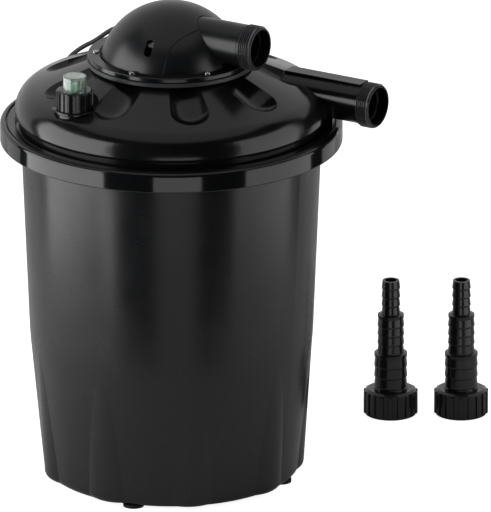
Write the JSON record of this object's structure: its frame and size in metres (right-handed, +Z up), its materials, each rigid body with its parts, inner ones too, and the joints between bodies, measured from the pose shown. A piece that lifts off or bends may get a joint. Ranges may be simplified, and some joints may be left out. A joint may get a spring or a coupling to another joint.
{
  "type": "pond canister filter",
  "caption": "Upright canister pond filter with a clamped lid, lamp dome, two threaded ports, sight gauge, hose adapters and lead.",
  "frame": {"origin": "on the tank's axis, level with the underside of the feet", "axes": "+Z up along the tank's axis; +X the way both threaded ports open; +Y to the outlet's side"},
  "size_m": [0.4026, 0.5339, 0.518],
  "materials": {
    "tank_plastic": "moulded black polypropylene, satin gloss",
    "lid_plastic": "moulded black polypropylene, high gloss",
    "band_plastic": "moulded black polypropylene, high gloss",
    "ring_plastic": "moulded black polypropylene, satin gloss",
    "dome_plastic": "moulded black ABS, fine satin texture",
    "fitting_plastic": "moulded black polypropylene, satin",
    "grid_plastic": "moulded dark grey polypropylene",
    "socket_plastic": "moulded white polyamide",
    "foot_rubber": "moulded black rubber",
    "seal_rubber": "moulded black EPDM rubber",
    "coarse_foam": "open-cell polyurethane foam, coarse, blue",
    "fine_foam": "open-cell polyurethane foam, fine, pale yellow",
    "latch_steel": "stainless steel, brushed",
    "screw_steel": "stainless steel, bright",
    "lens_glass": "clear polycarbonate",
    "quartz_glass": "clear quartz",
    "lamp_glass": "clear lamp glass",
    "cap_clear": "clear moulded polystyrene",
    "indicator_green": "moulded green ABS",
    "cord_rubber": "black rubber cable sheath",
    "plug_rubber": "moulded black rubber, with bright pins"
  },
  "bodies": {
    "tank": {"tank_shell": "tank_plastic", "feet": "foot_rubber", "lid_seal": "seal_rubber", "bottom_grid": "grid_plastic", "top_grid": "grid_plastic", "foam_ring_1": "coarse_foam", "foam_ring_2": "coarse_foam", "foam_ring_3": "fine_foam", "foam_ring_4": "fine_foam", "adapter_gasket_1": "seal_rubber", "adapter_gasket_2": "seal_rubber", "hose_tail_1": "fitting_plastic", "hose_tail_2": "fitting_plastic", "power_cord_coil": "cord_rubber", "power_cord_tail": "cord_rubber", "power_plug": "plug_rubber"},
    "lid": {"lid_shell": "lid_plastic", "clamp_band": "band_plastic", "latch_bracket": "latch_steel", "latch_catch": "latch_steel", "latch_pin": "latch_steel", "neck_gasket": "seal_rubber", "head_plate": "grid_plastic", "retaining_ring": "ring_plastic", "ring_screws": "screw_steel", "dome_cover": "dome_plastic", "window_lens": "lens_glass", "inlet_housing": "dome_plastic", "sleeve_seal": "seal_rubber", "quartz_sleeve": "quartz_glass", "lamp_socket": "socket_plastic", "uv_lamp": "lamp_glass", "central_tube": "grid_plastic", "ballast_box": "socket_plastic", "gauge_bush": "fitting_plastic", "cable_gland": "cord_rubber", "gland_nut": "fitting_plastic", "power_cord": "cord_rubber"},
    "latch_lever": {"latch_lever": "latch_steel", "link_pin": "latch_steel"},
    "latch_link": {"latch_link": "latch_steel"},
    "gauge_cap": {"gauge_glass": "cap_clear"},
    "gauge_nut": {"gauge_nut": "fitting_plastic"},
    "indicator": {"indicator_plunger": "indicator_green"},
    "adapter_nut_1": {"adapter_nut_1": "fitting_plastic"},
    "adapter_nut_2": {"adapter_nut_2": "fitting_plastic"}
  },
  "joints": [
    {"name": "lid_lift", "type": "slide", "parent": "tank", "child": "lid", "axis": [0, 0, 1], "range_m": [0, 0.36]},
    {"name": "latch_open", "type": "hinge", "parent": "lid", "child": "latch_lever", "pos_m": [-0.03039, 0.18738, 0.3786], "axis": [0, 0, -1], "range_deg": [0, 150], "deforming": ["clamp_band"]},
    {"name": "link_swing", "type": "hinge", "parent": "latch_lever", "child": "latch_link", "pos_m": [-0.05241, 0.17749, 0.3786], "axis": [0, 0, -1], "range_deg": [-120, 0]},
    {"name": "gauge_cap_rise", "type": "slide", "parent": "lid", "child": "gauge_cap", "axis": [0, 0, 1], "range_m": [0, 0.006]},
    {"name": "gauge_nut_turn", "type": "hinge", "parent": "gauge_cap", "child": "gauge_nut", "pos_m": [-0.0411, -0.12649, 0.4427], "axis": [0, 0, 1], "range_deg": [0, 1080]},
    {"name": "indicator_rise", "type": "slide", "parent": "lid", "child": "indicator", "axis": [0, 0, 1], "range_m": [0, 0.006], "stiffness_N_per_m": 60},
    {"name": "adapter_nut_1_turn", "type": "hinge", "parent": "tank", "child": "adapter_nut_1", "pos_m": [0.107, 0.273, 0.0135], "axis": [0, 0, 1], "continuous": true},
    {"name": "adapter_nut_2_turn", "type": "hinge", "parent": "tank", "child": "adapter_nut_2", "pos_m": [0.171, 0.312, 0.0135], "axis": [0, 0, 1], "continuous": true}
  ],
  "couplings": [
    {"joint": "link_swing", "follows": "latch_open", "ratio": -0.8},
    {"joint": "gauge_cap_rise", "follows": "gauge_nut_turn", "m_per_rad": 0.000318}
  ]
}
